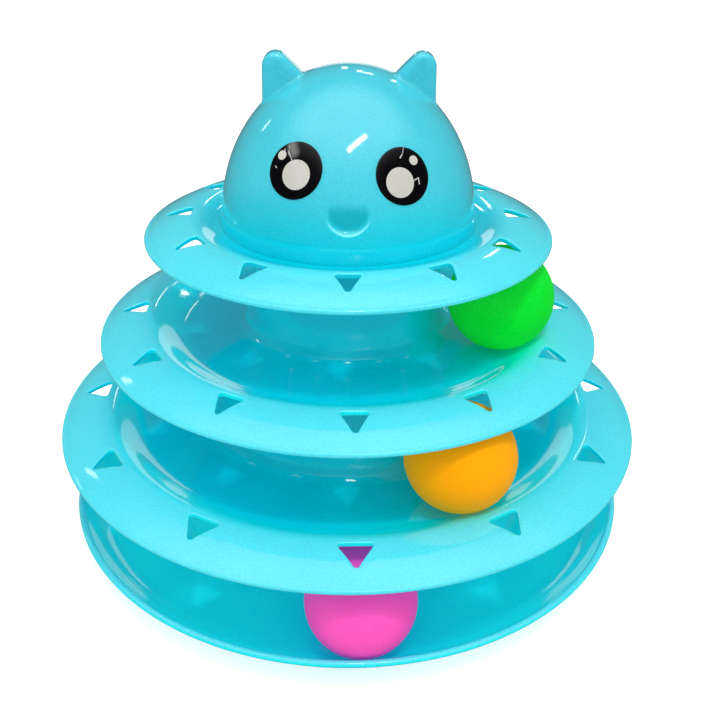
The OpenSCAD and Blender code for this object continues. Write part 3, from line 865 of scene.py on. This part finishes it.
# Where a line from the middle of an eye's plane meets the dome, raised by the lift
def domePoint(middle, across, upward, facing, x, y, lift):
    start = middle + across * x + upward * y
    size = Vector((head["radius"] + lift, head["radius"] + lift, head["height"] + lift))
    o = start - Vector((0, 0, head["middle"]))
    a = sum((facing[i] / size[i]) ** 2 for i in range(3))
    b = 2 * sum(o[i] * facing[i] / size[i] ** 2 for i in range(3))
    c = sum((o[i] / size[i]) ** 2 for i in range(3)) - 1
    return start + facing * ((-b + math.sqrt(b * b - 4 * a * c)) / (2 * a))


# A thin disc on the dome: its outline is spun flat, then each point is laid on the dome
def patch(bm, eye, shift, radius, low, high):
    z = head["foot"] + eye["up"]
    rise = z - head["middle"]
    r = head["radius"] * math.sqrt(1 - (rise / head["height"]) ** 2)
    turn = Matrix.Rotation(math.radians(eyes["bearing"]) * eye["side"], 3, up)
    middle = turn @ Vector((0, -r, z))
    facing = turn @ Vector((0, -r / head["radius"] ** 2, rise / head["height"] ** 2)).normalized()
    across = turn @ Vector((eye["side"], 0, 0))
    upward = facing.cross(across) * eye["side"]
    soft = min(eyes["edge"], (high - low) / 2)
    rings = [(radius * i / eyes["rings"], high) for i in range(1, eyes["rings"])]
    edge = bend((radius - soft, high), (radius, high), (radius, high - soft), eyes["edgeSteps"])
    flat = spun([(0, high), *rings, *edge, (radius, low), (0, low)], eyes["turns"], closed=False)
    for vert in flat.verts:
        x, y, lift = vert.co / mm
        vert.co = domePoint(middle, across, upward, facing, x + shift[0], y + shift[1], lift) * mm
    bmesh.ops.recalc_face_normals(flat, faces=flat.faces)
    mesh = bpy.data.meshes.new("patch")
    flat.to_mesh(mesh)
    flat.free()
    bm.from_mesh(mesh)
    bpy.data.meshes.remove(mesh)


def makeEye(name, eye):
    film, top = eyes["film"], eyes["film"] + eyes["print"]
    sticker, spots = bmesh.new(), bmesh.new()
    patch(sticker, eye, (0, 0), eyes["radius"], 0.0, film)
    for spot in ("spot", "glint"):
        patch(spots, eye, [share * eyes["radius"] for share in eye[spot]], eyes[spot], film, top)
    finishPiece(pieceFrom(sticker, name + "EyeSticker"), blackFilm, "top",
                [name + "_eye_sticker"])
    finishPiece(pieceFrom(spots, name + "EyePrint"), whiteInk, "top",
                [name + "_eye_print"])


blackFilm, whiteInk = stickerFilm(filmLook), whitePrint(printLook)
for name, eye in eyeSides.items():
    makeEye(name, eye)

# Balls: two moulded halves with a fine weld line round the middle
balls = {
    "pink": {"radius": 100.787, "height": 26.0, "bearing": 3.1},
    "orange": {"radius": 86.0, "height": 72.5713, "bearing": 29.2},
    "green": {"radius": 65.1, "height": 113.044, "bearing": 70.0},
}
weld = {"depth": 0.12, "width": 0.35, "lean": 61.5, "steps": 96, "turns": 128}


def makeBall(name, ball):
    size, steps = moulding["ballRadius"], weld["steps"]
    angles = [math.pi * (0.5 - i / steps) for i in range(1, steps)]
    radii = [size - weld["depth"] * math.exp(-(a * size / weld["width"]) ** 2) for a in angles]
    side = [(radius * math.cos(a), radius * math.sin(a)) for radius, a in zip(radii, angles)]
    bm = spun([(0, size), *side, (0, -size)], weld["turns"], closed=False)
    bmesh.ops.rotate(bm, verts=bm.verts, cent=(0, 0, 0),
                     matrix=Matrix.Rotation(math.radians(weld["lean"]), 3, "X"))
    place = Vector((0, -ball["radius"], ball["height"]))
    place = Matrix.Rotation(math.radians(ball["bearing"]), 3, up) @ place
    bmesh.ops.translate(bm, verts=bm.verts, vec=place * mm)
    finishPiece(pieceFrom(bm, name + "Ball"), ballPlastic[name], "ball_" + name,
                [name + "_ball"])


for name, ball in balls.items():
    makeBall(name, ball)

# Anti-slip pads under the base channel
pads = {"count": 4, "radius": 7.0, "height": 2.7, "ring": 94.54, "soft": 0.5, "softSteps": 3, "turns": 64}


def makePads():
    bm, radius = bmesh.new(), pads["radius"] * mm
    for k in range(pads["count"]):
        made = bmesh.ops.create_cone(bm, cap_ends=True, segments=pads["turns"], radius1=radius,
                                     radius2=radius, depth=pads["height"] * mm)["verts"]
        a = math.tau * (k + 0.5) / pads["count"]
        place = Vector((pads["ring"] * math.cos(a), pads["ring"] * math.sin(a), pads["height"] / 2))
        bmesh.ops.translate(bm, verts=made, vec=place * mm)
    ends = [e for e in bm.edges if abs(e.verts[0].co.z - e.verts[1].co.z) < pads["soft"] * mm]
    bmesh.ops.bevel(bm, geom=ends, offset=pads["soft"] * mm, segments=pads["softSteps"], profile=0.5,
                    affect="EDGES", material=-1)
    finishPiece(pieceFrom(bm, "antiSlipPads"), padFoam(padLook), "base", ["anti_slip_pads"])


makePads()

# Floor, light and camera
stageLook = {
    "floor": 6.0, "floorSeen": 0.9, "floorLit": 0.6, "floorMirrored": 0.15, "floorLift": 0.6,
    "mottleScale": 8, "mottle": 0.98,
    # soft light from the back to the front, and what is added overhead
    "skyFade": (0.6, -0.6), "skyBack": 0.6, "skyFront": 0.86, "skyHigh": 0.1,
    # what glossy surfaces mirror, from the walls to the roof
    "mirrorRise": (0.45, 0.95), "mirrorLow": 0.12, "mirrorHigh": 1.4, "mirrorLean": 0.5,
    "gapSide": (0.3, 0.55), "gapFront": (0.1, -0.25), "gapHeight": (0.8, 0.58), "gapDark": 0.04,
}
# Each lamp stands toward one side of lampAim, and glossy surfaces mirror all but one
lamps = {
    "key": {"toward": (0.119, -0.487, 0.865), "along": (0.266, 0.233, 0.091), "far": 1.1,
            "size": (0.41, 0.075), "power": 2.0, "mirrored": True},
    "cutOutLight": {"toward": (0.05, -0.45, 0.89), "along": (1, 0, 0), "far": 1.1,
                    "size": (0.06, 0.06), "power": 2.4, "mirrored": False},
    "backWindow": {"toward": (0.02, 0.99, 0.06), "along": (1, 0, 0), "far": 1.0,
                   "size": (0.3, 0.2), "power": 0.15, "mirrored": True},
    "sideGlint": {"toward": (-0.755, 0.509, 0.414), "along": (0.3, 0.2, 1), "far": 1.0,
                  "size": (0.11, 0.04), "power": 0.06, "mirrored": True},
    "topGlint": {"toward": (0.131, 0.823, 0.553), "along": (1, 0, 0), "far": 1.0,
                 "size": (0.09, 0.04), "power": 0.07, "mirrored": True},
    "upperSlit": {"toward": (0.32, 0.83, 0.46), "along": (0, 0, 1), "far": 1.0,
                  "size": (0.07, 0.03), "power": 0.06, "mirrored": True},
    "innerSlit": {"toward": (0.07, 0.84, 0.53), "along": (0, 0, 1), "far": 1.0,
                  "size": (0.07, 0.03), "power": 0.05, "mirrored": True},
    "lowerSlit": {"toward": (-0.03, 0.91, 0.42), "along": (0, 0, 1), "far": 1.0,
                  "size": (0.09, 0.03), "power": 0.06, "mirrored": True},
}
lampAim = (0.003, -0.038, 0.179)


def makeStage():
    floor = bmesh.new()
    bmesh.ops.create_grid(floor, x_segments=1, y_segments=1, size=stageLook["floor"] / 2)
    piece = pieceFrom(floor, "floor")
    finish = Finish("floorPaper")
    mottle = finish.noise(finish.place(), stageLook["mottleScale"], detail=3)
    mottle = finish.spread(mottle, stageLook["mottle"], 1.0)
    camera = finish.add("LightPath", out="Is Camera Ray")
    glossy = finish.add("LightPath", out="Is Glossy Ray")
    shade = camera * (stageLook["floorSeen"] - stageLook["floorLit"]) + stageLook["floorLit"]
    shade = shade - glossy * (stageLook["floorLit"] - stageLook["floorMirrored"])
    finish.set(Base_Color=finish.tinted((1, 1, 1, 1), shade * mottle), Roughness=0.9,
               Specular_IOR_Level=0.0, Emission_Color=(1, 1, 1, 1),
               Emission_Strength=camera * stageLook["floorLift"])
    piece.data.materials.append(finish.material)


# A white tent that lights most from the front. Glossy surfaces mirror its bright roof, its dim
# walls and a dark gap at each side of the camera.
def makeWorld():
    world = bpy.data.worlds.new("studio")
    world.use_nodes = True
    scene.world = world
    sky = Nodes(world.node_tree)
    way = sky.add("TexCoord", out="Generated")
    x, y, z = [sky.axis(way, letter) for letter in "XYZ"]
    soft = sky.between(y, *stageLook["skyFade"], stageLook["skyBack"], stageLook["skyFront"])
    soft = soft + z.greater(0.0) * stageLook["skyHigh"]
    gap = (sky.between(x.greater(0 - x), *stageLook["gapSide"]) * sky.between(y, *stageLook["gapFront"])
           * sky.between(z, *stageLook["gapHeight"]))
    high = z - y.greater(0.0) * stageLook["mirrorLean"]
    mirrored = sky.between(high, *stageLook["mirrorRise"], stageLook["mirrorLow"], stageLook["mirrorHigh"])
    mirrored = mirrored * (1 - gap) + gap * stageLook["gapDark"]
    glossy = sky.add("LightPath", out="Is Glossy Ray")
    camera = sky.add("LightPath", out="Is Camera Ray")
    strength = mirrored * glossy + soft * (1 - glossy)
    background = world.node_tree.nodes["Background"]
    sky.feed(background.inputs["Color"], (1, 1, 1, 1))
    sky.feed(background.inputs["Strength"], strength * (1 - camera) + camera)


def makeLamp(name, lamp):
    data = bpy.data.lights.new(name, "AREA")
    data.shape = "RECTANGLE"
    data.size, data.size_y = lamp["size"]
    data.energy = lamp["power"]
    piece = linked(name, data)
    away = Vector(lamp["toward"]).normalized()
    across = Vector(lamp["along"])
    across = (across - away * away.dot(across)).normalized()
    turn = Matrix((across, away.cross(across), away)).transposed().to_4x4()
    piece.matrix_world = Matrix.Translation(Vector(lampAim) + away * lamp["far"]) @ turn
    piece.visible_glossy = lamp["mirrored"]
    piece.visible_camera = False


# The lens and place were solved from the photograph's round rims and balls
photo = {"place": (0, -0.3429, 0.2606), "down": 0.498, "roll": 0.006, "focal": 879.1,
         "width": 712, "height": 711, "middle": (347.5, 355.0), "sensor": 36, "clip": (0.01, 50)}


def makeCamera():
    data = bpy.data.cameras.new("camera")
    data.sensor_width = photo["sensor"]
    data.lens = photo["focal"] / photo["width"] * data.sensor_width
    data.shift_x = (photo["width"] / 2 - photo["middle"][0]) / photo["width"]
    data.shift_y = (photo["middle"][1] - photo["height"] / 2) / photo["width"]
    data.clip_start, data.clip_end = photo["clip"]
    camera = linked("camera", data)
    camera.matrix_world = (Matrix.Translation(photo["place"])
                           @ Matrix.Rotation(math.pi / 2 - photo["down"], 4, "X")
                           @ Matrix.Rotation(photo["roll"], 4, "Z"))
    scene.camera = camera


makeStage()
makeWorld()
for name, lamp in lamps.items():
    makeLamp(name, lamp)
makeCamera()
scene.view_settings.view_transform = "Standard"
print("stage, lamps and camera made")
